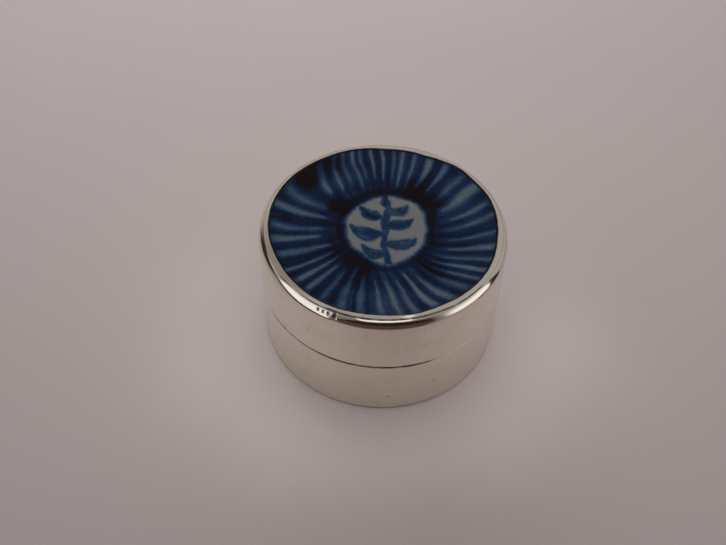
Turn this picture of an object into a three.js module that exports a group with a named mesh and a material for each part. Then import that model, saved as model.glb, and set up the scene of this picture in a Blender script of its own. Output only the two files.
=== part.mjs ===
// A small round silver box with a lift-off lid. The lid holds a disc of blue-and-white porcelain in a
// rubbed-over bezel, and slips over a collar that is soldered inside the base.
//
// Millimetres, +Z up. The origin is the centre of the underside, on the surface that the box stands on.
// Every piece is turned about Z, so each has one closed outline in the (radius, height) half-plane.

import * as THREE from "three";

// Driving dimensions.
const boxRadius = 20;
const seamHeight = 11.7; // where the lid's lower edge meets the base's upper edge
const faceHeight = 22.9; // highest line of the box, the tip of the bezel's lip
const sheet = 0.8; // silver sheet of the floor
const baseWall = 0.9; // silver strip of the base's wall
const slipFit = 0.05; // radial clearance between the lid's wall and the collar
const seamGap = 0.04; // clearance under the lid's lower edge
const edgeBreak = 0.12; // small chamfer that takes the sharpness off an edge

// The collar stands up inside the lid and keeps it on.
const collarRadius = boxRadius - baseWall;
const collarWall = 0.6;
const collarRise = 3.4;

// The lid, from its wall inwards.
const lidInnerRadius = collarRadius + slipFit;
const lidFoot = seamHeight + seamGap;
const shoulderRadius = 1.7; // the rounded edge that runs round the top of the lid
const shoulderStart = 21.06; // height at which the wall starts to turn over
const bezelWall = 0.4;
const lipRadius = 18.42; // inner edge of the bezel, where it is rubbed over the porcelain
const lipFoot = 22.52; // height at which the bezel's outside starts to lean in
const lipThickness = 0.12;
const plateThickness = 0.7;
const plateTop = 19.6;
const plateChamfer = 0.04; // on both rims of the plate and of the pad
const padThickness = 0.5;

// The porcelain disc, ground to a bevel at its edge so that the bezel can grip it.
const sideClearance = 0.1; // between the porcelain and the bezel
const lipClearance = 0.04; // between the porcelain's face and the bezel's lip
const porcelainRadius = lidInnerRadius - bezelWall - sideClearance;
const porcelainTop = 22.74;
const porcelainBevel = 0.42;

const roundSegments = 96;
const arcSteps = 3; // a path's arc is drawn in twice as many steps

const silver = new THREE.MeshStandardMaterial({ color: 0xd9d4cb, metalness: 1, roughness: 0.12 });
const porcelain = new THREE.MeshStandardMaterial({ color: 0x1d3c66, metalness: 0, roughness: 0.15 });
const cork = new THREE.MeshStandardMaterial({ color: 0xa9825a, metalness: 0, roughness: 0.9 });

const quarter = Math.PI / 2;

// Turns an outline about +Z. Its points are (radius, height), and run up the outside and down the inside.
function turned(name, outline, material) {
  const points = outline.getPoints(arcSteps);
  const geometry = new THREE.LatheGeometry(points, roundSegments);
  geometry.rotateX(quarter);
  const mesh = new THREE.Mesh(geometry, material);
  mesh.name = name;
  return mesh;
}

// A plain disc with both rims chamfered.
function disc(name, radius, bottom, top, material) {
  const outline = new THREE.Path();
  outline.moveTo(0, bottom);
  outline.lineTo(radius - plateChamfer, bottom);
  outline.lineTo(radius, bottom + plateChamfer);
  outline.lineTo(radius, top - plateChamfer);
  outline.lineTo(radius - plateChamfer, top);
  outline.lineTo(0, top);
  return turned(name, outline, material);
}

// The floor: a disc as wide as the box, with its lower edge rounded over.
function baseFloor() {
  const rounding = 0.4;
  const outline = new THREE.Path();
  outline.moveTo(0, 0);
  outline.lineTo(boxRadius - rounding, 0);
  outline.absarc(boxRadius - rounding, rounding, rounding, -quarter, 0, false);
  outline.lineTo(boxRadius, sheet);
  outline.lineTo(0, sheet);
  return turned("base_floor", outline, silver);
}

// The wall of the base: a strip bent into a ring, standing on the floor.
function baseWallRing() {
  const outline = new THREE.Path();
  outline.moveTo(collarRadius, sheet);
  outline.lineTo(boxRadius, sheet);
  outline.lineTo(boxRadius, seamHeight - edgeBreak);
  outline.lineTo(boxRadius - edgeBreak, seamHeight);
  outline.lineTo(collarRadius, seamHeight);
  outline.closePath();
  return turned("base_wall", outline, silver);
}

// The collar lines the base from the floor up, and its free edge is rounded so that the lid slips on.
function innerCollar() {
  const inner = collarRadius - collarWall;
  const crown = collarWall / 2;
  const crownHeight = seamHeight + collarRise - crown;
  const outline = new THREE.Path();
  outline.moveTo(inner, sheet);
  outline.lineTo(collarRadius, sheet);
  outline.lineTo(collarRadius, crownHeight);
  outline.absarc(collarRadius - crown, crownHeight, crown, 0, Math.PI, false);
  outline.closePath();
  return turned("inner_collar", outline, silver);
}

// The wall of the lid: as wide as the base, from the seam up to the rounded edge.
function lidWallRing() {
  const outline = new THREE.Path();
  outline.moveTo(lidInnerRadius, lidFoot);
  outline.lineTo(boxRadius - edgeBreak, lidFoot);
  outline.lineTo(boxRadius, lidFoot + edgeBreak);
  outline.lineTo(boxRadius, shoulderStart);
  outline.lineTo(lidInnerRadius, shoulderStart);
  outline.closePath();
  return turned("lid_wall", outline, silver);
}

// The moulding round the top of the lid, rounded on the outside, which backs the bezel.
function rimMoulding() {
  const centre = boxRadius - shoulderRadius;
  const end = Math.acos((lidInnerRadius - centre) / shoulderRadius);
  const outline = new THREE.Path();
  outline.moveTo(lidInnerRadius, shoulderStart);
  outline.lineTo(boxRadius, shoulderStart);
  outline.absarc(centre, shoulderStart, shoulderRadius, 0, end, false);
  outline.closePath();
  return turned("rim_moulding", outline, silver);
}

// The bezel: a thin strip on the plate, whose upper edge leans in over the porcelain's bevel as a lip.
function bezel() {
  const inner = lidInnerRadius - bezelWall;
  const bend = porcelainTop - porcelainBevel + lipClearance;
  const outline = new THREE.Path();
  outline.moveTo(inner, plateTop);
  outline.lineTo(lidInnerRadius, plateTop);
  outline.lineTo(lidInnerRadius, lipFoot);
  outline.lineTo(lidInnerRadius - edgeBreak / 2, lipFoot + edgeBreak / 2);
  outline.lineTo(lipRadius, faceHeight);
  outline.lineTo(lipRadius, faceHeight - lipThickness);
  outline.lineTo(inner, bend);
  outline.closePath();
  return turned("bezel", outline, silver);
}

// The porcelain: a disc cut from a painted dish, bevelled under the bezel's lip.
function porcelainDisc() {
  const bottom = plateTop + padThickness;
  const outline = new THREE.Path();
  outline.moveTo(0, bottom);
  outline.lineTo(porcelainRadius - edgeBreak, bottom);
  outline.lineTo(porcelainRadius, bottom + edgeBreak);
  outline.lineTo(porcelainRadius, porcelainTop - porcelainBevel);
  outline.lineTo(porcelainRadius - porcelainBevel, porcelainTop);
  outline.lineTo(0, porcelainTop);
  return turned("porcelain_disc", outline, porcelain);
}

const box = new THREE.Group();

const base = new THREE.Group();
base.add(baseFloor());
base.add(baseWallRing());
base.add(innerCollar());
box.add(base);

const lid = new THREE.Group();
lid.add(lidWallRing());
lid.add(disc("lid_plate", lidInnerRadius, plateTop - plateThickness, plateTop, silver));
lid.add(rimMoulding());
lid.add(bezel());
lid.add(disc("setting_pad", porcelainRadius, plateTop, plateTop + padThickness, cork));
lid.add(porcelainDisc());
box.add(lid);

export default box;
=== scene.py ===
"""A small round silver box with a lift-off lid, which holds a disc of blue-and-white porcelain.

Every piece is turned about the Z axis from an outline of (radius, height) points, in metres, in the frame
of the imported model. Some are then shaped a little by hand: the lip that is rubbed over the porcelain, the
planished shoulder and its punched marks.
"""

import math
from functools import partial

import bmesh
import bpy
from mathutils import Matrix, Vector, noise


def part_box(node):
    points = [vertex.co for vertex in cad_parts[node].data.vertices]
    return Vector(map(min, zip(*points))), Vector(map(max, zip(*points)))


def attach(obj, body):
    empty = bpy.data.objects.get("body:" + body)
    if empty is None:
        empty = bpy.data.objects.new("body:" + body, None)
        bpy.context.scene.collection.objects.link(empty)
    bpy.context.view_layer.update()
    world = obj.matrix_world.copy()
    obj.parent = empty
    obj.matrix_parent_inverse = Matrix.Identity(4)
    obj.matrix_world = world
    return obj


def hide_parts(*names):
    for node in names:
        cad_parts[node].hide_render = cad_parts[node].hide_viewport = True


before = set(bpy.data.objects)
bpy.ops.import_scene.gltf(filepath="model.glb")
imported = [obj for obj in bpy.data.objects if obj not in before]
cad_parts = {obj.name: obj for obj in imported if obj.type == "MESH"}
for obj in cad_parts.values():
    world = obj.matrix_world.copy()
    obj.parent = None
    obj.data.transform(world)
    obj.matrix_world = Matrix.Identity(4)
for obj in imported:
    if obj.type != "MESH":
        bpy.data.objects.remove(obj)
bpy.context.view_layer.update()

MM = 0.001
ROUND_STEPS = 384  # faces round a turned piece
FILLET_STEPS = 6
HOLD = 0.03 * MM  # a ring this near to each end of a straight stretch keeps its shading straight
STRETCH = 1.0 * MM  # longest straight step along an outline
ON_AXIS = 1e-6 * MM  # a point this near to the axis is on it
SHARP_EDGE = math.radians(38)
FULL_TURN = 2 * math.pi


# ---- where things are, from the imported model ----


def span(node):
    """A turned node's outer radius, its lowest and its highest height."""
    low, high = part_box(node)
    return high.x, low.z, high.z


BOX_RADIUS, FLOOR_LOW, FLOOR_TOP = span("base_floor")
SEAM_LOW = span("base_wall")[2]
COLLAR_RADIUS, _, COLLAR_TOP = span("inner_collar")
_, SEAM_HIGH, SHOULDER_LOW = span("lid_wall")
LID_BORE, PLATE_LOW, PLATE_TOP = span("lid_plate")
SHOULDER_TOP = span("rim_moulding")[2]
LIP_TOP = span("bezel")[2]
DISC_RADIUS, DISC_LOW, DISC_TOP = span("porcelain_disc")

COLLAR_WALL = 0.6 * MM
SHOULDER_ROUND = 1.7 * MM
SHOULDER_CENTRE = BOX_RADIUS - SHOULDER_ROUND
BEZEL_WALL = 0.4 * MM
LIP_RADIUS = 18.4 * MM
LIP_THICKNESS = 0.16 * MM


# ---- turned pieces ----


def fillet(before, corner, after, rounding):
    """The points of an arc that rounds a corner, or the corner itself."""
    corner = Vector(corner)
    if not rounding:
        return [corner]
    back = (Vector(before) - corner).normalized()
    on = (Vector(after) - corner).normalized()
    half = back.angle(on) / 2
    centre = corner + (back + on).normalized() * rounding / math.sin(half)
    start = corner + back * rounding / math.tan(half) - centre
    end = corner + on * rounding / math.tan(half) - centre
    sweep = start.angle_signed(end)
    turns = [sweep * k / FILLET_STEPS for k in range(FILLET_STEPS + 1)]
    return [centre + Matrix.Rotation(-turn, 2) @ start for turn in turns]


def stretch(start, end):
    """The points between two ends of a straight stretch: one held near each end, and even steps."""
    length = (end - start).length
    if length < 4 * HOLD:
        return []
    steps = max(1, math.ceil(length / STRETCH))
    shares = [HOLD / length] + [k / steps for k in range(1, steps)] + [1 - HOLD / length]
    return [start.lerp(end, share) for share in shares]


def outline(*corners):
    """Points of a closed outline, from corners that are (radius, height) or (radius, height, rounding)."""
    plain = [corner[:2] for corner in corners]
    count = len(corners)
    rounded = []
    for k, corner in enumerate(corners):
        rounding = corner[2] if len(corner) > 2 else 0
        rounded.append(fillet(plain[k - 1], plain[k], plain[(k + 1) % count], rounding))
    points = []
    for k in range(count):
        points += rounded[k]
        following = rounded[(k + 1) % count][0]
        along_axis = rounded[k][-1].x == 0 and following.x == 0
        if not along_axis:
            points += stretch(rounded[k][-1], following)
    return points


def even_angles():
    return [FULL_TURN * k / ROUND_STEPS for k in range(ROUND_STEPS)]


def turned(name, node, body, material, points, form=None, angles=None):
    """Turns an outline into a piece. form(radius, height, angle) may move a point by hand, and gives both."""
    form = form or (lambda radius, height, angle: (radius, height))
    angles = angles or even_angles()
    mesh = bmesh.new()
    rings = []
    for point in points:
        if point.x < ON_AXIS:
            rings.append([mesh.verts.new((0, 0, form(0, point.y, 0)[1]))] * len(angles))
            continue
        ring = []
        for angle in angles:
            radius, height = form(point.x, point.y, angle)
            ring.append(mesh.verts.new((radius * math.cos(angle), radius * math.sin(angle), height)))
        rings.append(ring)
    for k, ring in enumerate(rings):
        following = rings[(k + 1) % len(rings)]
        if ring[0] is ring[1] and following[0] is following[1]:
            continue
        for a in range(len(angles)):
            b = (a + 1) % len(angles)
            corners = (ring[a], ring[b], following[b], following[a])
            mesh.faces.new(list(dict.fromkeys(corners)))
    bmesh.ops.recalc_face_normals(mesh, faces=mesh.faces)
    data = bpy.data.meshes.new(name)
    mesh.to_mesh(data)
    mesh.free()
    data.shade_smooth()
    data.set_sharp_from_angle(angle=SHARP_EDGE)
    data.materials.append(material)
    piece = bpy.data.objects.new(name, data)
    bpy.context.scene.collection.objects.link(piece)
    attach(piece, body)
    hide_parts(node)
    return piece


# ---- nodes: arithmetic on wires adds the nodes that work it out ----


class Wire:
    """One output of a node."""

    def __init__(self, tree, socket):
        self.tree = tree
        self.socket = socket

    def __add__(self, other):
        return calc("ADD", self, other)

    def __radd__(self, other):
        return calc("ADD", other, self)

    def __sub__(self, other):
        return calc("SUBTRACT", self, other)

    def __rsub__(self, other):
        return calc("SUBTRACT", other, self)

    def __mul__(self, other):
        return calc("MULTIPLY", self, other)

    def __rmul__(self, other):
        return calc("MULTIPLY", other, self)

    def __truediv__(self, other):
        return calc("DIVIDE", self, other)


def plug(tree, socket, value):
    """Joins a wire to a socket, or sets the socket's own value."""
    if isinstance(value, Wire):
        tree.links.new(value.socket, socket)
    else:
        socket.default_value = value


def tree_of(*values):
    return next(value.tree for value in values if isinstance(value, Wire))


def calc(operation, *values):
    tree = tree_of(*values)
    node = tree.nodes.new("ShaderNodeMath")
    node.operation = operation
    for socket, value in zip(node.inputs, values):
        plug(tree, socket, value)
    return Wire(tree, node.outputs[0])


def smooth(low, high, value):
    """0 below low, 1 above high, and a soft step between."""
    tree = tree_of(value)
    node = tree.nodes.new("ShaderNodeMapRange")
    node.interpolation_type = "SMOOTHSTEP"
    plug(tree, node.inputs["Value"], value)
    plug(tree, node.inputs["From Min"], low)
    plug(tree, node.inputs["From Max"], high)
    return Wire(tree, node.outputs["Result"])


def between(low, high, soft, value):
    """1 from low to high, with soft ends."""
    return smooth(low - soft, low + soft, value) * (1 - smooth(high - soft, high + soft, value))


def vector(x, y, z):
    tree = tree_of(x, y, z)
    node = tree.nodes.new("ShaderNodeCombineXYZ")
    for socket, value in zip(node.inputs, (x, y, z)):
        plug(tree, socket, value)
    return Wire(tree, node.outputs[0])


def cloud(x, y, z, seed, detail=2.0, roughness=0.5):
    """Smooth noise from 0 to 1, whose features are about one unit across."""
    place = vector(x, y, z)
    tree = place.tree
    node = tree.nodes.new("ShaderNodeTexNoise")
    node.noise_dimensions = "4D"
    plug(tree, node.inputs["Vector"], place)
    node.inputs["W"].default_value = seed
    node.inputs["Scale"].default_value = 1.0
    node.inputs["Detail"].default_value = detail
    node.inputs["Roughness"].default_value = roughness
    return Wire(tree, node.outputs[0])


def specks(x, y, z, share, size):
    """1 on small round specks, of which share of the unit cells hold one."""
    place = vector(x, y, z)
    tree = place.tree
    node = tree.nodes.new("ShaderNodeTexVoronoi")
    plug(tree, node.inputs["Vector"], place)
    node.inputs["Scale"].default_value = 1.0
    colour = tree.nodes.new("ShaderNodeSeparateColor")
    tree.links.new(node.outputs["Color"], colour.inputs[0])
    chosen = calc("LESS_THAN", Wire(tree, colour.outputs[0]), share)
    reach = Wire(tree, colour.outputs[1]) * size + size * 0.5
    return chosen * (1 - smooth(0, reach, Wire(tree, node.outputs["Distance"])))


def chance(index, seed):
    """Three even random numbers for a whole number."""
    tree = tree_of(index)
    node = tree.nodes.new("ShaderNodeTexWhiteNoise")
    node.noise_dimensions = "1D"
    plug(tree, node.inputs["W"], index + seed)
    parts = tree.nodes.new("ShaderNodeSeparateColor")
    tree.links.new(node.outputs["Color"], parts.inputs[0])
    return [Wire(tree, parts.outputs[k]) for k in range(3)]


def blend(share, start, end):
    """A colour from start to end. Each is a wire or (red, green, blue)."""
    tree = tree_of(share, start, end)
    node = tree.nodes.new("ShaderNodeMix")
    node.data_type = "RGBA"
    node.clamp_factor = True
    colours = [socket for socket in node.inputs if socket.type == "RGBA"]
    plug(tree, node.inputs[0], share)
    for socket, value in zip(colours, (start, end)):
        plug(tree, socket, value if isinstance(value, Wire) else (*value, 1))
    return Wire(tree, next(socket for socket in node.outputs if socket.type == "RGBA"))


def ramp(value, stops):
    """A colour by value, from stops of (value from 0 to 1, (red, green, blue))."""
    tree = value.tree
    node = tree.nodes.new("ShaderNodeValToRGB")
    node.color_ramp.interpolation = "EASE"
    elements = node.color_ramp.elements
    while len(elements) < len(stops):
        elements.new(0.5)
    for element, (position, colour) in zip(elements, stops):
        element.position = position
        element.color = (*colour, 1)
    plug(tree, node.inputs[0], value)
    return Wire(tree, node.outputs[0])


def coordinates(tree, output="Object"):
    """The three parts of a texture coordinate. Object's are metres from the object's origin."""
    source = tree.nodes.new("ShaderNodeTexCoord")
    parts = tree.nodes.new("ShaderNodeSeparateXYZ")
    tree.links.new(source.outputs[output], parts.inputs[0])
    return [Wire(tree, socket) for socket in parts.outputs]


def polar(x, y):
    """The angle about Z, from -pi to pi, and the radius."""
    return calc("ARCTAN2", y, x), calc("SQRT", x * x + y * y)


def principled(name):
    material = bpy.data.materials.new(name)
    material.use_nodes = True
    tree = material.node_tree
    return material, tree, tree.nodes["Principled BSDF"]


def bump(tree, shader, height):
    """Tilts the shading by a height in metres."""
    node = tree.nodes.new("ShaderNodeBump")
    node.inputs["Strength"].default_value = 1.0
    node.inputs["Distance"].default_value = 1.0
    plug(tree, node.inputs["Height"], height)
    tree.links.new(node.outputs["Normal"], shader.inputs["Normal"])


# ---- silver ----

BRIGHT_SILVER = (0.830, 0.792, 0.698)
DULL_SILVER = (0.66, 0.60, 0.50)
# Colour of tarnish in pits and spots, and of painted shade along creases.
TARNISH_AND_SHADE = (0.10, 0.075, 0.055)


def upright_marks(x, y, z):
    """Fine marks of a polishing cloth that was drawn up and down a wall."""
    return cloud(x / (0.22 * MM), y / (0.22 * MM), z / (3.5 * MM), seed=1.0, detail=3.0)


def round_marks(x, y, z):
    """Fine marks that run round the axis, as a spinning mop leaves them."""
    angle, radius = polar(x, y)
    turn_x = calc("COSINE", angle) * 5
    turn_y = calc("SINE", angle) * 5
    return cloud(turn_x, turn_y, (radius + z) / (0.12 * MM), seed=2.0, detail=3.0)


def hairlines(x, y, z):
    """Sparse scratches in all directions, from handling."""
    total = 0
    for turn, across, seed in ((20, 0.09, 3.1), (78, 0.11, 4.3), (131, 0.10, 5.7), (164, 0.13, 6.9)):
        cos = math.cos(math.radians(turn))
        sin = math.sin(math.radians(turn))
        flat = x * cos + y * sin
        over = (x + z) * -sin + (y + z) * cos
        line = cloud(flat / (across * MM), over / (4.2 * MM), z / (0.5 * MM), seed=seed, detail=1.0)
        total = total + smooth(0.64, 0.74, line)
    return total


def silver(name, roughness, marks, depth, creases=(), spots=(), pits=0.0, grime=0.35, bloom=0.0):
    """Polished silver. depth is how deep the marks are, and bloom how far small dull patches show.

    Creases that darken are (radius, height, reach, share of the darkening that is there all round, first and
    last degree of the rest). Spots are (degree, height, reach, darkness).
    """
    material, tree, shader = principled(name)
    x, y, z = coordinates(tree)
    angle, radius = polar(x, y)
    smudge = cloud(x / (5 * MM), y / (5 * MM), z / (3 * MM), seed=7.0, detail=4.0, roughness=0.6)
    veil = cloud(x / (1.3 * MM), y / (1.3 * MM), z / (1.1 * MM), seed=8.0, detail=3.0)
    grain = marks(x, y, z)
    scratches = hairlines(x, y, z)
    dulled = smooth(0.42, 0.85, smudge) * grime + smooth(0.55, 0.9, veil) * 0.25 * grime
    dulled = dulled + smooth(0.45, 0.85, grain) * 0.5 * grime + scratches * 0.45 * grime
    patches = cloud(x / (0.50 * MM), y / (0.50 * MM), z / (0.95 * MM), seed=9.0, detail=2.0)
    colour = blend(dulled + bloom * (patches - 0.40), BRIGHT_SILVER, DULL_SILVER)
    height = grain * depth - scratches * depth * 0.4 + smudge * 0.003 * MM
    if pits:
        holes = specks(x / (1.4 * MM), y / (1.4 * MM), z / (1.4 * MM), pits, 0.045)
        colour = blend(holes * 0.7, colour, TARNISH_AND_SHADE)
        height = height - holes * 0.004 * MM
    # Creases darken towards that colour: painted shade at the crease by the lip, the seam and the foot; the
    # inside only grows darker towards its corners.
    for crease_radius, crease_height, reach, everywhere, first, last in creases:
        away = calc("SQRT", calc("POWER", radius - crease_radius, 2) + calc("POWER", z - crease_height, 2))
        crease_dark = (1 - smooth(reach * 0.3, reach, away)) * (0.55 + 0.6 * smooth(0.35, 0.7, veil))
        inside = between(math.radians(first - 360), math.radians(last - 360), 0.06, angle)
        colour = blend(crease_dark * (everywhere + (1 - everywhere) * inside), colour, TARNISH_AND_SHADE)
    for degrees, spot_height, reach, darkness in spots:
        along = angle - math.radians(degrees - 360)
        away = calc("SQRT", calc("POWER", along * radius, 2) + calc("POWER", z - spot_height, 2))
        stain = (1 - smooth(reach * 0.35, reach, away)) * darkness
        colour = blend(stain, colour, TARNISH_AND_SHADE)
    plug(tree, shader.inputs["Base Color"], colour)
    shader.inputs["Metallic"].default_value = 1.0
    plug(tree, shader.inputs["Roughness"], roughness + smudge * roughness * 0.9 + dulled * 0.12)
    bump(tree, shader, height)
    return material


# ---- cork ----


def cork():
    """Ground cork: pale grains of many sizes with dark cracks between them."""
    material, tree, shader = principled("ground cork")
    x, y, z = coordinates(tree)
    grain = tree.nodes.new("ShaderNodeTexVoronoi")
    grain.inputs["Scale"].default_value = 1.0
    plug(tree, grain.inputs["Vector"], vector(x / (0.7 * MM), y / (0.7 * MM), z / (0.7 * MM)))
    edge = smooth(0.25, 0.75, Wire(tree, grain.outputs["Distance"]))
    tone = cloud(x / (0.9 * MM), y / (0.9 * MM), z / (0.9 * MM), seed=2.5, detail=4.0)
    colour = blend(tone, (0.30, 0.17, 0.085), (0.66, 0.45, 0.27))
    plug(tree, shader.inputs["Base Color"], blend(edge, colour, (0.12, 0.06, 0.03)))
    plug(tree, shader.inputs["Roughness"], 0.75 + tone * 0.2)
    bump(tree, shader, (tone - edge) * 0.05 * MM)
    return material


# ---- porcelain: lengths are shares of the box's radius, and angles turn left from +X ----

STROKES = 38  # painted strokes round the border
RING_CENTRE = (0.025, -0.04)
RESERVE_ACROSS = 0.330
RESERVE_DEEP = 0.376
PIGMENT = (
    (0.00, (0.252, 0.262, 0.262)),
    (0.12, (0.186, 0.220, 0.243)),
    (0.24, (0.096, 0.143, 0.198)),
    (0.38, (0.033, 0.077, 0.150)),
    (0.52, (0.011, 0.035, 0.106)),
    (0.68, (0.006, 0.016, 0.052)),
    (0.84, (0.006, 0.007, 0.017)),
    (1.00, (0.008, 0.004, 0.005)),
)
DARKEST = 1.5  # pigment that gives the last of these colours
SPRIG_LEAVES = (  # start, tip, half width, how far it bends, pigment
    ((0.03, -0.31), (-0.19, -0.21), 0.046, 0.045, 0.92),
    ((0.02, -0.22), (0.25, -0.13), 0.050, -0.050, 0.76),
    ((-0.01, -0.12), (-0.27, 0.00), 0.056, 0.050, 0.84),
    ((-0.01, -0.02), (0.24, 0.09), 0.052, -0.040, 0.98),
    ((0.00, 0.07), (-0.20, 0.20), 0.044, 0.030, 1.08),
    ((0.03, 0.13), (0.20, 0.23), 0.036, -0.030, 0.84),
    ((0.05, 0.18), (0.02, 0.35), 0.034, 0.020, 1.10),
)


def leaf(x, y, start, end, width, bend, soft=0.042):
    """1 on a bent leaf that was laid down with one press of the brush, widest near its start."""
    step = Vector(end) - Vector(start)
    ahead = step.normalized()
    off_x = x - start[0]
    off_y = y - start[1]
    share = (off_x * ahead.x + off_y * ahead.y) / step.length
    side = off_y * ahead.x - off_x * ahead.y
    inside = calc("MINIMUM", calc("MAXIMUM", share, 0.0), 1.0)
    away = calc("ABSOLUTE", side - inside * (1 - inside) * 4 * bend)
    swell = calc("SINE", calc("POWER", inside, 0.7) * math.pi) * width
    return (1 - smooth(swell - soft, swell + soft, away)) * between(0.0, 1.0, 0.06, share)


def curved(x, y, centre, radius, width, soft, low, high):
    """1 on a brush stroke that follows a circle, between two heights."""
    away = calc("ABSOLUTE", polar(x - centre[0], y - centre[1])[1] - radius)
    return (1 - smooth(width - soft, width + soft, away)) * between(low, high, 0.02, y)


def border(angle, radius, x, y):
    """Pigment of the radial strokes. Pale gaps between them widen outwards from points."""
    # The strokes lean one way at the right and the other way at the left, most at the upper left.
    lean = 0.06 + 0.17 * calc("COSINE", angle + math.radians(15))
    swirl = 1 - smooth(0.0, 0.6, calc("ABSOLUTE", angle - math.radians(130)))
    lean = (lean - swirl * 0.17) * (radius - 0.5) / 0.36
    along = angle - lean

    # Each stroke has a cell round the border, and the cells are uneven in width.
    cells = along * (STROKES / FULL_TURN)
    cells = cells - 0.8 * calc("SINE", along * 2) + 0.8 * calc("COSINE", along)
    cells = cells + 0.30 * calc("SINE", along * 3 + 1.2) + 0.12 * calc("SINE", along * 8 + 0.4)
    cells = calc("FLOORED_MODULO", cells, float(STROKES))
    index = calc("FLOOR", cells)
    place = calc("FRACT", cells) - 0.5
    shift, breadth, start = chance(index, 0.5)
    strength, tone, reach = chance(index, 71.5)

    # The pale gap in a cell starts at a point, widens outwards and mostly fades before the lip.
    front = smooth(0.2, 0.9, 0 - calc("SINE", angle))
    grow = smooth(0.38 + start * 0.12 + front * 0.06, 0.82, radius)
    half = (0.05 + 0.11 * breadth) * (0.35 + 0.65 * grow)
    off = calc("ABSOLUTE", place - (shift - 0.5) * 0.30)
    gap = (1 - smooth(half - 0.09, half + 0.22, off)) * smooth(0.0, 0.12, grow)
    gap = gap * (1 - 0.70 * smooth(0.84 + reach * 0.06, 0.93, radius))

    # Brush hairs and pools of wet colour make a stroke uneven. It is thin in front and at the right.
    hairs = cloud(cells * 3.0, radius * 1.5, 0.0, seed=11.0, detail=2.0)
    pool = cloud(x * 4, y * 4, 0.0, seed=12.0, detail=3.0)
    body = 0.80 + 0.30 * (tone - 0.5) + 0.50 * (hairs - 0.5) + 0.60 * (pool - 0.5)
    body = body + 0.20 * (1 - smooth(0.42, 0.56, radius)) + 0.10 * smooth(0.80, 0.91, radius)
    body = body + 0.18 * smooth(0.18, 0.42, off)
    thin = 0.17 * smooth(0.82, 0.98, calc("COSINE", angle - math.radians(273)))
    thin = thin + 0.10 * smooth(0.75, 0.98, calc("COSINE", angle - math.radians(345)))
    body = body - thin * smooth(0.60, 0.76, radius)
    return body * (1 - gap * (0.38 + 0.30 * strength))


def blots(x, y):
    """Extra pigment where the brush was full, each (x, y, reach, amount)."""
    total = 0
    for blot_x, blot_y, reach, amount in (
        (-0.56, 0.64, 0.26, 0.64),
        (-0.66, 0.48, 0.20, 0.55),
        (-0.40, 0.72, 0.16, 0.36),
        (0.27, 0.42, 0.20, 0.55),
        (0.42, 0.26, 0.15, 0.50),
        (-0.36, 0.20, 0.14, 0.50),
        (-0.21, -0.46, 0.17, 0.50),
        (-0.24, -0.62, 0.13, 0.35),
        (-0.30, -0.76, 0.12, 0.30),
        (-0.36, -0.36, 0.16, 0.30),
        (0.38, -0.46, 0.20, 0.50),
        (-0.78, 0.05, 0.08, 0.30),
    ):
        away = polar(x - blot_x, y - blot_y)[1]
        total = total + (1 - smooth(0.0, reach, away)) * amount
    return total


def sprig(x, y):
    """Pigment of the middle: one bent stem with leaves on both sides and a bud."""
    drawn = curved(x, y, (0.83, -0.12), 0.83, 0.023, 0.030, -0.40, 0.20) * 0.86
    for start, end, width, bend, amount in SPRIG_LEAVES:
        drawn = calc("MAXIMUM", drawn, leaf(x, y, start, end, width, bend) * amount)
    wash = cloud(x * 8, y * 8, 0.0, seed=28.0, detail=3.0)
    heaped = between(0.30, 0.62, 0.10, drawn)
    return drawn * (0.30 + 1.15 * wash) + 0.22 * heaped


# Where the burnisher pushed the lip less or more: degree, mm outwards, half width in degrees.
LIP_DENTS = (
    (20, 0.13, 10),
    (48, 0.32, 6),
    (66, -0.15, 6),
    (80, -0.42, 22),
    (90, -0.12, 5),
    (155, 0.20, 22),
    (205, -0.20, 14),
    (240, 0.22, 12),
    (255, 0.08, 8),
    (284, 0.20, 7),
    (318, 0.08, 14),
    (352, -0.25, 14),
)
LIP_LIMIT = 0.21  # mm, the farthest out


def lip_outline(angle, cosine=math.cos, exponential=math.exp):
    """How far the lip's free edge stands off a true circle, in mm. The angle may be a wire."""
    off = 0
    for degrees, size, width in LIP_DENTS:
        sharpness = 2 / math.radians(width) ** 2
        off = size * exponential((cosine(angle - math.radians(degrees)) - 1) * sharpness) + off
    return off


def lip_shadow(angle, radius):
    """1 where glaze meets the lip: a dark line of painted shade from the gap under the lip, broadest at the
    back.
    """
    cosine = partial(calc, "COSINE")
    exponential = partial(calc, "EXPONENT")
    off = lip_outline(angle, cosine, exponential)
    edge = (calc("MINIMUM", off, LIP_LIMIT) * MM + LIP_RADIUS) / BOX_RADIUS
    breadth = 0.019 + 0.007 * calc("SINE", angle)
    return smooth(edge - breadth, edge - breadth * 0.3, radius)


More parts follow.
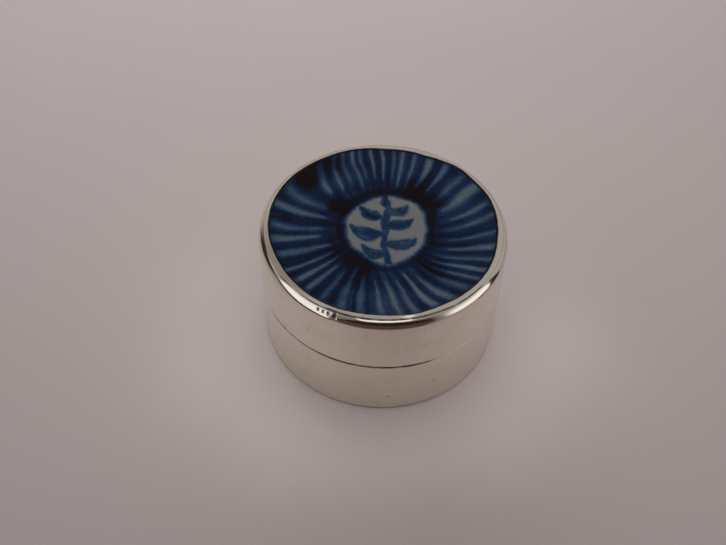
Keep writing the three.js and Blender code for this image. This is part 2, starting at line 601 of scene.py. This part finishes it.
def painted_porcelain():
    """Grey-white glaze over brushed cobalt."""
    material, tree, shader = principled("blue and white porcelain")
    x, y, z = coordinates(tree)
    x = x / BOX_RADIUS
    y = y / BOX_RADIUS
    lip_shade_line = lip_shadow(*polar(x, y))

    # A brush never draws true, so the painting's coordinates waver.
    shake_x = cloud(x * 3.5, y * 3.5, 0.0, seed=20.0, detail=0.0) - 0.5
    shake_y = cloud(x * 3.5, y * 3.5, 0.0, seed=21.0, detail=0.0) - 0.5
    fine_x = cloud(x * 24, y * 24, 0.0, seed=22.0, detail=1.0) - 0.5
    fine_y = cloud(x * 24, y * 24, 0.0, seed=23.0, detail=1.0) - 0.5
    x = x + shake_x * 0.06 + fine_x * 0.011
    y = y + shake_y * 0.06 + fine_y * 0.011
    angle, radius = polar(x, y)

    # The reserve in the middle is left pale inside a dark ring.
    ring_x = x - RING_CENTRE[0]
    ring_y = y - RING_CENTRE[1]
    ring_angle, ring_radius = polar(ring_x, ring_y)
    reserve = polar(ring_x / RESERVE_ACROSS, ring_y / RESERVE_DEEP)[1]
    uneven = cloud(x * 6, y * 6, 0.0, seed=24.0, detail=3.0)
    corners = calc("COSINE", ring_angle * 3 + 0.6)
    reserve = reserve * (1 + 0.04 * corners) + 0.20 * (uneven - 0.5)
    inside = 1 - smooth(0.89, 1.09, reserve)
    thick = 1.26 + 0.40 * (uneven - 0.5) + 0.06 * calc("COSINE", ring_angle - math.radians(60))
    ring = smooth(0.89, 1.09, reserve) * (1 - smooth(thick - 0.08, thick + 0.16, reserve))
    low_side = smooth(0.55, 0.95, calc("COSINE", ring_angle - math.radians(285)))
    ring_pigment = 1.25 + 0.55 * (uneven - 0.5) - 0.22 * low_side

    # The pigment of it all.
    mottle = cloud(x * 18, y * 18, 0.0, seed=25.0, detail=4.0)
    outside = calc("MAXIMUM", border(angle, radius, x, y), ring * ring_pigment)
    sway_x = 0.09 * (cloud(x * 7, y * 7, 0.0, seed=35.0, detail=3.0) - 0.5)
    sway_y = 0.09 * (cloud(x * 7, y * 7, 0.0, seed=36.0, detail=3.0) - 0.5)
    middle = sprig(x + sway_x, y + sway_y) + 0.07 * mottle
    pigment = outside * (1 - inside) + middle * inside + blots(x, y) * (1 - inside * 0.9)
    heaped = specks(x * 30, y * 30, 0.0, 0.30, 0.30) * smooth(0.35, 0.7, pigment)
    pigment = pigment + 0.16 * heaped + 0.22 * (mottle - 0.5) * smooth(0.1, 0.5, pigment)
    # Painted shade: a dark line where the glaze meets the lip.
    pigment = pigment + 0.95 * lip_shade_line
    flecks = specks(x * 22, y * 22, 0.0, 0.10, 0.09)
    pigment = pigment + 0.30 * flecks
    grain = cloud(x * 55, y * 55, 0.0, seed=29.0, detail=2.0)
    pigment = pigment + 0.40 * (grain - 0.5) * smooth(0.1, 0.4, pigment)

    # Cobalt that is greener in some places, and more violet in others.
    colour = ramp(pigment / DARKEST, PIGMENT)
    green = smooth(0.50, 0.72, cloud(x * 5, y * 5, 0.0, seed=30.0, detail=3.0))
    green = green * between(0.25, 0.85, 0.12, pigment)
    colour = blend(green * 0.45, colour, (0.030, 0.085, 0.105))
    violet = smooth(0.50, 0.68, cloud(x * 4, y * 4, 0.0, seed=37.0, detail=3.0))
    violet = violet * between(0.30, 0.95, 0.15, pigment)
    colour = blend(violet * 0.40, colour, (0.033, 0.036, 0.098))
    plug(tree, shader.inputs["Base Color"], colour)

    # The glaze.
    ripple = cloud(x * 9, y * 9, z / BOX_RADIUS, seed=26.0, detail=2.0)
    orange_peel = cloud(x * 60, y * 60, z / BOX_RADIUS, seed=27.0, detail=1.0)
    plug(tree, shader.inputs["Roughness"], 0.10 + 0.10 * mottle)
    shader.inputs["IOR"].default_value = 1.5
    shader.inputs["Specular IOR Level"].default_value = 0.42
    bump(tree, shader, ripple * 0.018 * MM + orange_peel * 0.0012 * MM - flecks * 0.004 * MM)
    return material


# ---- hand-made shape ----


def direction(angle):
    """The point of the unit circle at an angle."""
    return Vector((math.cos(angle), math.sin(angle), 0.0))


def angle_between(angle, degrees):
    """The signed angle in degrees from a direction."""
    return (math.degrees(angle) - degrees + 180) % 360 - 180


def lip_edge(angle):
    """How far the lip's free edge stands off a true circle, in metres, with its fine unevenness."""
    here = direction(angle)
    off = lip_outline(angle) + 0.035 * noise.noise(here * 9) + 0.030 * noise.noise(here * 27)
    return min(off, LIP_LIMIT) * MM


def rubbed_lip(radius, height, angle):
    """The burnisher pushed the lip down unevenly, most at its free edge."""
    share = (LID_BORE - radius) / (LID_BORE - LIP_RADIUS)
    share = min(max(share, 0), 1) if height > DISC_TOP - 0.3 * MM else 0
    here = direction(angle)
    facet = noise.noise(here * 7 + Vector((0, 0, 3))) * 0.035 * MM
    facet += noise.noise(here * 24 + Vector((0, 0, 8))) * 0.012 * MM
    return radius + share * lip_edge(angle), height - share * (0.03 * MM + facet)


PUNCHES = (  # degree, shape, size
    (240.7, "oval", 0.95),
    (243.2, "block", 0.90),
    (245.7, "lozenge", 1.10),
    (248.7, "block", 1.55),
)
PUNCH_CENTRE = math.radians(40)  # how far up the shoulder's rounding the punches sit
PUNCH_WIDE = 0.25 * MM
PUNCH_HIGH = 0.32 * MM
PUNCH_DEPTH = 0.085 * MM
SCUFF = 253  # degrees, where the shoulder was rubbed down beside the marks
SCUFF_WIDE = 4.0  # degrees, half of it


def punch_depth(angle, slope):
    """How deep the blank punched marks are at a point of the shoulder."""
    depth = 0
    for degrees, kind, size in PUNCHES:
        v = (slope - PUNCH_CENTRE) * SHOULDER_ROUND / (PUNCH_HIGH * size)
        u = math.radians(angle_between(angle, degrees)) * BOX_RADIUS / (PUNCH_WIDE * size) + 0.35 * v
        if kind == "oval":
            out = math.hypot(u, v)
        elif kind == "block":
            out = max(abs(u) * 1.15, abs(v))
        else:
            out = abs(u) * 0.9 + abs(v) * 0.85
        field = min(max((1.0 - out) / 0.30, 0), 1)
        depth = max(depth, field * PUNCH_DEPTH)
    return depth


def planished_shoulder(radius, height, angle):
    """The shoulder's rounding, a little uneven from the hammer, with the marks punched in."""
    out = Vector((radius - SHOULDER_CENTRE, height - SHOULDER_LOW))
    if out.length < SHOULDER_ROUND * 0.93 or height <= SHOULDER_LOW:
        return radius, height
    slope = math.atan2(out.y, out.x)
    fade = math.sin(min(slope, 1.0)) ** 0.5
    here = direction(angle)
    blows = noise.noise(here * 4.5 + Vector((0, 0, slope * 0.8)))
    blows += 0.4 * noise.noise(here * 13 + Vector((0, 0, 5 + slope * 1.5)))
    scuffed = math.exp(-((angle_between(angle, SCUFF) / SCUFF_WIDE) ** 2))
    rubs = noise.noise(Vector((math.degrees(angle) * 0.9, slope * 6, 2))) * scuffed
    shift = blows * 0.022 * MM * fade + rubs * 0.030 * MM - punch_depth(angle, slope)
    moved = out.normalized() * (out.length + shift)
    return SHOULDER_CENTRE + moved.x, SHOULDER_LOW + moved.y


def wavy_wall(radius, height, angle):
    """A wall that was bent and trued by hand isn't quite round."""
    here = Vector((math.cos(angle) * 2.2, math.sin(angle) * 2.2, height / (9 * MM)))
    fade = min(1, (height - FLOOR_LOW) / (2 * MM), (SHOULDER_LOW - height) / (2 * MM))
    seam = min(1, abs(height - (SEAM_LOW + SEAM_HIGH) / 2) / (1 * MM))
    return radius + noise.noise(here) * 0.02 * MM * max(fade, 0) * seam, height


def uneven_glaze(radius, height, angle):
    """The disc was cut from a dish, so its face isn't quite flat."""
    if height < DISC_TOP - 0.1 * MM:
        return radius, height
    here = direction(angle) * radius / (9 * MM)
    return radius, height + noise.noise(here) * 0.025 * MM


def uneven_sheet(radius, height, angle):
    """Sheet silver that soldering has moved a little."""
    here = direction(angle) * radius / (8 * MM)
    fade = min(1, max(0, (17 * MM - radius) / (4 * MM)))
    top = 1 if height > FLOOR_TOP / 2 else 0
    return radius, height + noise.noise(here) * 0.03 * MM * fade * top


def shoulder_outline():
    """The shoulder's rounding, with close steps where the marks are punched."""
    end = math.acos((LID_BORE - SHOULDER_CENTRE) / SHOULDER_ROUND)
    below = [2.5 * k for k in range(11)]
    beside = [27.5 + 1.1 * k for k in range(25)]
    above = [56]
    slopes = [math.radians(degrees) for degrees in below + beside + above] + [end]
    arc = [
        Vector((
            SHOULDER_CENTRE + SHOULDER_ROUND * math.cos(slope),
            SHOULDER_LOW + SHOULDER_ROUND * math.sin(slope),
        ))
        for slope in slopes
    ]
    start = Vector((LID_BORE, SHOULDER_LOW))
    brink = arc[-1] - Vector((0, 0.03 * MM))
    inner = [Vector((LID_BORE, height)) for height in (SHOULDER_TOP - 0.3 * MM, SHOULDER_LOW + HOLD)]
    return [start] + stretch(start, arc[0]) + arc + [brink] + inner


def shoulder_angles():
    """Even steps, and close ones round the punched marks."""
    margin = 1.4  # degrees
    low = math.radians(PUNCHES[0][0] - margin)
    high = math.radians(PUNCHES[-1][0] + margin)
    step = math.radians(0.11)
    close = [low + step * k for k in range(int((high - low) / step) + 1)]
    even = [angle for angle in even_angles() if not low - step < angle < high + step]
    return sorted(even + close)


# ---- the pieces ----

SEAM = (SEAM_LOW + SEAM_HIGH) / 2
# Painted shade: the creases by the lip and the seam darken, mostly at the front, and the foot darkens all
# round. INNER_CORNER and LID_CORNER make the inside darker towards its corners.
TOP_CREASE = (LID_BORE, SHOULDER_TOP, 0.15 * MM, 0.10, 215, 322)
FRONT_CREASE = (LID_BORE - 0.09 * MM, SHOULDER_TOP + 0.06 * MM, 0.20 * MM, 0.0, 244, 300)
SEAM_LINE = (BOX_RADIUS, SEAM, 0.26 * MM, 0.15, 208, 293)
SEAM_FRONT = (BOX_RADIUS, SEAM, 0.36 * MM, 0.0, 238, 291)
FOOT_LINE = (BOX_RADIUS, FLOOR_LOW, 0.30 * MM, 1.0, 0, 360)
INNER_CORNER = (COLLAR_RADIUS - COLLAR_WALL, FLOOR_TOP, 1.0 * MM, 0.45, 0, 0)
LID_CORNER = (LID_BORE, PLATE_LOW, 1.0 * MM, 0.45, 0, 0)
WALL_SPOTS = (
    (274, 3.6 * MM, 0.26 * MM, 0.95),
    (296, 5.8 * MM, 0.60 * MM, 0.22),
    (220, 11.75 * MM, 0.45 * MM, 0.75),
    (263, 19.6 * MM, 0.40 * MM, 0.20),
    (236, 16.6 * MM, 0.55 * MM, 0.16),
)
PUNCH_HEIGHT = SHOULDER_LOW + SHOULDER_ROUND * math.sin(PUNCH_CENTRE)
PUNCH_SPOTS = tuple((degrees, PUNCH_HEIGHT, 0.33 * size * MM, 0.94) for degrees, kind, size in PUNCHES)

wall_silver = silver(
    "polished silver wall", 0.13, upright_marks, 0.0085 * MM,
    creases=(SEAM_LINE, SEAM_FRONT, FOOT_LINE), spots=WALL_SPOTS, pits=0.016, bloom=0.7,
)
rim_silver = silver(
    "polished silver rim", 0.075, round_marks, 0.0022 * MM,
    creases=(TOP_CREASE, FRONT_CREASE), spots=PUNCH_SPOTS, pits=0.01, grime=0.2,
)
lip_silver = silver(
    "burnished silver lip", 0.16, round_marks, 0.0022 * MM,
    creases=(TOP_CREASE, FRONT_CREASE), pits=0.01, grime=0.12,
)
inner_silver = silver(
    "satin silver inside", 0.24, round_marks, 0.00120 * MM,
    creases=(INNER_CORNER, LID_CORNER), pits=0.02, grime=0.6,
)
floor_silver = silver(
    "worn silver floor", 0.20, round_marks, 0.00100 * MM,
    creases=(INNER_CORNER, FOOT_LINE), pits=0.03, grime=0.7,
)

turned(
    "floor_disc", "base_floor", "base", floor_silver,
    outline(
        (0, FLOOR_LOW),
        (BOX_RADIUS, FLOOR_LOW, 0.38 * MM),
        (BOX_RADIUS, FLOOR_TOP),
        (0, FLOOR_TOP),
    ),
    uneven_sheet,
)
turned(
    "base_ring", "base_wall", "base", wall_silver,
    outline(
        (COLLAR_RADIUS, FLOOR_TOP),
        (BOX_RADIUS, FLOOR_TOP),
        (BOX_RADIUS, SEAM_LOW, 0.05 * MM),
        (COLLAR_RADIUS, SEAM_LOW),
    ),
    wavy_wall,
)
collar_inside = COLLAR_RADIUS - COLLAR_WALL
turned(
    "collar_ring", "inner_collar", "base", inner_silver,
    outline(
        (collar_inside - 0.35 * MM, FLOOR_TOP),
        (COLLAR_RADIUS, FLOOR_TOP),
        (COLLAR_RADIUS, COLLAR_TOP, 0.26 * MM),
        (collar_inside, COLLAR_TOP, 0.26 * MM),
        (collar_inside, FLOOR_TOP + 0.06 * MM, 0.30 * MM),
        (collar_inside - 0.35 * MM, FLOOR_TOP + 0.06 * MM),
    ),
)
turned(
    "lid_ring", "lid_wall", "lid", wall_silver,
    outline(
        (LID_BORE, SEAM_HIGH, 0.05 * MM),
        (BOX_RADIUS, SEAM_HIGH, 0.05 * MM),
        (BOX_RADIUS, SHOULDER_LOW),
        (LID_BORE, SHOULDER_LOW),
    ),
    wavy_wall,
)
turned(
    "lid_disc", "lid_plate", "lid", inner_silver,
    outline(
        (0, PLATE_LOW),
        (LID_BORE - 0.35 * MM, PLATE_LOW, 0.30 * MM),
        (LID_BORE - 0.05 * MM, PLATE_LOW - 0.35 * MM),
        (LID_BORE, PLATE_LOW - 0.35 * MM),
        (LID_BORE, PLATE_TOP),
        (0, PLATE_TOP),
    ),
)
turned(
    "shoulder_ring", "rim_moulding", "lid", rim_silver,
    shoulder_outline(), planished_shoulder, shoulder_angles(),
)
bezel_inside = LID_BORE - BEZEL_WALL
turned(
    "bezel_strip", "bezel", "lid", lip_silver,
    outline(
        (bezel_inside, PLATE_TOP),
        (LID_BORE, PLATE_TOP),
        (LID_BORE, SHOULDER_TOP - 0.03 * MM, 0.02 * MM),
        (LID_BORE - 0.08 * MM, SHOULDER_TOP + 0.04 * MM, 0.08 * MM),
        (LIP_RADIUS, LIP_TOP, 0.06 * MM),
        (LIP_RADIUS, LIP_TOP - LIP_THICKNESS, 0.05 * MM),
        (bezel_inside, DISC_TOP - 0.30 * MM),
    ),
    rubbed_lip,
)
turned(
    "cork_bed", "setting_pad", "lid", cork(),
    outline(
        (0, PLATE_TOP),
        (DISC_RADIUS, PLATE_TOP, 0.12 * MM),
        (DISC_RADIUS, DISC_LOW, 0.12 * MM),
        (0, DISC_LOW),
    ),
)
turned(
    "painted_disc", "porcelain_disc", "lid", painted_porcelain(),
    outline(
        (0, DISC_LOW),
        (DISC_RADIUS, DISC_LOW, 0.15 * MM),
        (DISC_RADIUS, DISC_TOP - 0.36 * MM, 0.12 * MM),
        (DISC_RADIUS - 0.30 * MM, DISC_TOP, 0.30 * MM),
        (0, DISC_TOP),
    ),
    uneven_glaze,
)


# ---- the stage, in metres ----

TABLE_REACH = 3
TABLE_SHADE_BROWN = (0.13, 0.082, 0.066), (0.25, 0.165, 0.135)  # painted shade of the table in front: its colour in the mottle's folds, and between them
BLACK = (0.012, 0.006, 0.006), (0.085, 0.050, 0.048)
SHEET_WHITE = (1.0, 0.970, 0.975)
WARM = (1.0, 0.972, 0.955)
PINK = (1.0, 0.95, 0.97)
COOL = (0.91, 0.955, 1.0)


def card(name, lower, upper, material):
    """A thin card between a lower and an upper edge, which are lists of points from left to right."""
    count = len(lower)
    data = bpy.data.meshes.new(name)
    data.from_pydata([*lower, *upper], [], [(k, k + 1, count + k + 1, count + k) for k in range(count - 1)])
    spread = data.uv_layers.new().data
    for loop in data.loops:
        spread[loop.index].uv = (loop.vertex_index % count / (count - 1), loop.vertex_index // count)
    data.materials.append(material)
    piece = bpy.data.objects.new(name, data)
    bpy.context.scene.collection.objects.link(piece)
    return piece


def mirrored_card(name, lower, upper, material):
    """A card that is seen only in reflections."""
    piece = card(name, lower, upper, material)
    piece.visible_camera = False
    piece.visible_diffuse = False
    piece.visible_shadow = False


def table_top():
    """Plain pale paper, with a very faint mottle."""
    material, tree, shader = principled("pale table")
    x, y, _ = coordinates(tree)
    mottle = cloud(x / 0.03, y / 0.03, 0.0, seed=31.0, detail=3.0)
    tooth = cloud(x / 0.0006, y / 0.0006, 0.0, seed=32.0, detail=2.0)
    tone = mottle * 0.6 + tooth * 0.4
    plug(tree, shader.inputs["Base Color"], blend(tone, (0.765, 0.680, 0.672), (0.825, 0.740, 0.732)))
    shader.inputs["Roughness"].default_value = 0.9
    shader.inputs["Specular IOR Level"].default_value = 0.2
    bump(tree, shader, tooth * 0.01 * MM)
    return material


def soft_edges(tree, left, right, low, high):
    """1 on a card, and falling to 0 over these shares of it towards its edges."""
    u, v, _ = coordinates(tree, "UV")
    across = smooth(0.0, left, u) * smooth(0.0, right, 1 - u)
    return across * smooth(0.0, low, v) * smooth(0.0, high, 1 - v)


def cloth(name, colours, *edges):
    """Folded cloth between two colours, which fades towards its edges so that its reflection does too. It
    also paints the shade on the table in front.
    """
    material, tree, shader = principled(name)
    x, y, z = coordinates(tree)
    fold = cloud(x / 0.05, y / 0.05, z / 0.09, seed=33.0, detail=3.0)
    plug(tree, shader.inputs["Base Color"], blend(fold, *colours))
    shader.inputs["Roughness"].default_value = 0.9
    plug(tree, shader.inputs["Alpha"], soft_edges(tree, *edges))
    return material


def lit_sheet(radiance, *edges):
    """A sheet of white cloth with light behind its lower half."""
    material, tree, shader = principled("lit sheet")
    x, y, z = coordinates(tree)
    fold = cloud(x / 0.03, y / 0.03, z / 0.05, seed=34.0, detail=3.0)
    shader.inputs["Base Color"].default_value = (0, 0, 0, 1)
    shader.inputs["Specular IOR Level"].default_value = 0
    shader.inputs["Emission Color"].default_value = (*SHEET_WHITE, 1)
    height = coordinates(tree, "UV")[1]
    glow = radiance * (1 - 0.68 * smooth(0.28, 0.85, height))
    plug(tree, shader.inputs["Emission Strength"], glow * (0.85 + 0.30 * fold))
    plug(tree, shader.inputs["Alpha"], soft_edges(tree, *edges))
    return material


def lamp(name, place, target, width, height, radiance, colour):
    """A soft lamp, whose brightness is given as the brightness of its face."""
    data = bpy.data.lights.new(name, "AREA")
    data.shape = "RECTANGLE"
    data.size = width
    data.size_y = height
    data.energy = radiance * math.pi * width * height
    data.color = colour
    light = bpy.data.objects.new(name, data)
    light.location = place
    light.rotation_mode = "QUATERNION"
    light.rotation_quaternion = (Vector(target) - Vector(place)).to_track_quat("-Z", "Y")
    light.visible_camera = False
    bpy.context.scene.collection.objects.link(light)
    return light


def surroundings():
    """A pale room, by direction: dimmer in front and overhead, with dim patches at the back and the left."""
    low_wall = (0.45, 0.412, 0.405)
    high_wall = (0.405, 0.368, 0.357)
    front_wall = (0.20, 0.18, 0.175)
    back_patch = (0.08, 0.075, 0.075)
    left_patch = (0.20, 0.175, 0.145)
    ceiling = (0.33, 0.30, 0.30)
    world = bpy.data.worlds.new("pale room")
    bpy.context.scene.world = world
    world.use_nodes = True
    tree = world.node_tree
    x, y, z = coordinates(tree, "Generated")
    room = blend(smooth(-0.1, 0.45, z), low_wall, high_wall)
    room = blend(smooth(0.1, 0.7, 0 - y), room, front_wall)
    beside = smooth(0.24, 0.42, calc("ABSOLUTE", x))
    back = between(0.60, 0.85, 0.05, z) * smooth(0.0, 0.3, y) * (1 - beside)
    room = blend(back, room, back_patch)
    left = smooth(0.22, 0.42, 0 - x) * between(0.55, 0.93, 0.06, z) * smooth(-0.35, 0.0, y)
    room = blend(left * 0.75, room, left_patch)
    room = blend(smooth(0.90, 0.97, z), room, ceiling)
    plug(tree, tree.nodes["Background"].inputs["Color"], room)
    tree.nodes["Background"].inputs["Strength"].default_value = 1.0


def front_cloths_and_table_shade():
    """Dark cloth in front of the box, painted shade of the table nearer to it that only reflections show, and
    a shade over the table there.
    """
    wall_y = -0.400
    foot = [(-0.310, wall_y, -0.008), (0.385, wall_y, -0.008)]
    head = [(-0.155, wall_y, 0.392), (0.385, wall_y, 0.392)]
    card("dark_front", foot, head, cloth("black cloth", BLACK, 0.05, 0.13, 0.02, 0.04)).visible_camera = False

    # Painted shade: brown cards, which only reflections show, stand in for the table in front where it lies
    # in shade, one upright and one lying on it.
    table_shade_y = -0.128
    table_shade_foot = [(-0.093, table_shade_y, 0.0005), (0.112, table_shade_y, 0.0005)]
    table_shade_head = [(-0.072, table_shade_y, 0.060), (0.112, table_shade_y, 0.060)]
    far_table_shade_paint = cloth("far table shade", TABLE_SHADE_BROWN, 0.10, 0.13, 0.01, 0.60)
    mirrored_card("far_table_shade", table_shade_foot, table_shade_head, far_table_shade_paint)
    table_shade_near = [(-0.045, -0.040, 0.001), (0.050, -0.040, 0.001)]
    near_table_shade_paint = cloth("near table shade", TABLE_SHADE_BROWN, 0.05, 0.16, 0.01, 0.34)
    mirrored_card("near_table_shade", table_shade_foot, table_shade_near, near_table_shade_paint)

    half = 0.3
    height = 0.14
    shade_near = [(-half, -0.072, height), (half, -0.072, height)]
    shade_far = [(-half, -0.320, height), (half, -0.320, height)]
    shade = card("shade_above", shade_near, shade_far, cloth("black shade", BLACK, 0.1, 0.1, 0.1, 0.1))
    shade.visible_camera = False
    shade.visible_glossy = False


def left_cards():
    """A lit sheet that bends round the left of the box, its dark hem, and a dark post beside it."""
    sheet_low = [
        Vector((-0.060, -0.011, 0.036)),
        Vector((-0.046, -0.0257, 0.018)),
        Vector((-0.0284, -0.0435, 0.0075)),
    ]
    sheet_top = 0.086
    hem_width = 0.0125
    sheet_high = [Vector((*point.xy, sheet_top)) for point in sheet_low]
    hem_low = [point - Vector((0, 0, hem_width)) for point in sheet_low]
    mirrored_card("left_sheet", sheet_low, sheet_high, lit_sheet(1.03, 0.03, 0.05, 0.01, 0.10))
    mirrored_card("left_hem", hem_low, sheet_low, cloth("left hem", BLACK, 0.01, 0.01, 0.15, 0.01))
    post_low = [(-0.061, 0.045, 0.006), (-0.060, -0.011, 0.025)]
    post_high = [(-0.061, 0.045, 0.062), (-0.060, -0.011, 0.036)]
    mirrored_card("left_post", post_low, post_high, cloth("left post", BLACK, 0.45, 0.01, 0.10, 0.10))


def right_cards():
    """A lit sheet at the right, with a dark fin and a dark hem just inside it."""
    sheet_x = 0.060
    fin_x = 0.0595
    hem_x = 0.0592
    sheet_low = [(sheet_x, -0.068, 0.006), (sheet_x, -0.0085, 0.006)]
    sheet_high = [(sheet_x, -0.068, 0.082), (sheet_x, -0.0115, 0.082)]
    mirrored_card("right_sheet", sheet_low, sheet_high, lit_sheet(1.11, 0.40, 0.02, 0.14, 0.10))
    fin_low = [(fin_x, -0.0100, 0.003), (fin_x, 0.0070, 0.003)]
    fin_high = [(fin_x, -0.0075, 0.045), (fin_x, -0.0045, 0.036)]
    mirrored_card("right_fin", fin_low, fin_high, cloth("right fin", BLACK, 0.05, 0.05, 0.03, 0.03))
    hem_low = [(hem_x, -0.026, 0.0035), (hem_x, -0.011, 0.0020)]
    hem_high = [(hem_x, -0.026, 0.0090), (hem_x, -0.011, 0.0090)]
    mirrored_card("right_hem", hem_low, hem_high, cloth("right hem", BLACK, 0.40, 0.05, 0.05, 0.10))


FOOT_LAMPS = (  # degree, brightness
    (170, 0.25),
    (205, 0.32),
    (240, 0.38),
    (275, 0.20),
    (310, 0.33),
    (345, 0.34),
)
FOOT_LAMP_SIZE = 0.015
FOOT_LAMP_OUT = 0.0285
FOOT_LAMP_AIM = 0.0275
FOOT_LAMP_HEIGHT = 0.014


def lamps():
    """Soft lamps. Reflections leave out all but the front one, and only they show that one."""
    lamp("near top", (0, 0.012, 0.16), (0, 0.012, 0), 0.17, 0.08, 0.69, WARM).visible_glossy = False
    for degrees, radiance in FOOT_LAMPS:
        out = direction(math.radians(degrees))
        place = out * FOOT_LAMP_OUT + Vector((0, 0, FOOT_LAMP_HEIGHT))
        aim = out * FOOT_LAMP_AIM
        size = FOOT_LAMP_SIZE
        lamp(f"foot {degrees}", place, aim, size, size, radiance, WARM).visible_glossy = False
    back = lamp("back fill", (-0.03, 0.22, 0.16), (0, 0.12, 0), 0.30, 0.10, 1.90, COOL)
    back.visible_glossy = False
    front = lamp("front top", (0.010, -0.110, 0.170), (0, -0.02, 0.02), 0.105, 0.055, 1.02, PINK)
    front.visible_diffuse = False


def stage():
    near = [(-TABLE_REACH, -TABLE_REACH, FLOOR_LOW), (TABLE_REACH, -TABLE_REACH, FLOOR_LOW)]
    far = [(-TABLE_REACH, TABLE_REACH, FLOOR_LOW), (TABLE_REACH, TABLE_REACH, FLOOR_LOW)]
    card("table", near, far, table_top())
    surroundings()
    front_cloths_and_table_shade()
    left_cards()
    right_cards()
    lamps()


CAMERA_PLACE = (-0.155, -4.92, 6.30)  # in box radii
CAMERA_LENS = 44.3
CAMERA_FALL = 49.5  # degrees, how far it looks down
CAMERA_ROLL = 1.54  # degrees


def camera():
    """Looks down on the box from in front, turned a little about its line of sight."""
    data = bpy.data.cameras.new("camera")
    data.sensor_width = 36
    data.lens = CAMERA_LENS
    data.clip_start = 0.001
    data.clip_end = 20
    eye = bpy.data.objects.new("camera", data)
    place = Vector(CAMERA_PLACE) * BOX_RADIUS
    tilt = Matrix.Rotation(math.radians(90 - CAMERA_FALL), 4, "X")
    roll = Matrix.Rotation(math.radians(CAMERA_ROLL), 4, "Z")
    eye.matrix_world = Matrix.Translation(place) @ tilt @ roll
    bpy.context.scene.collection.objects.link(eye)
    bpy.context.scene.camera = eye


stage()
camera()
bpy.context.scene.view_settings.view_transform = "Standard"
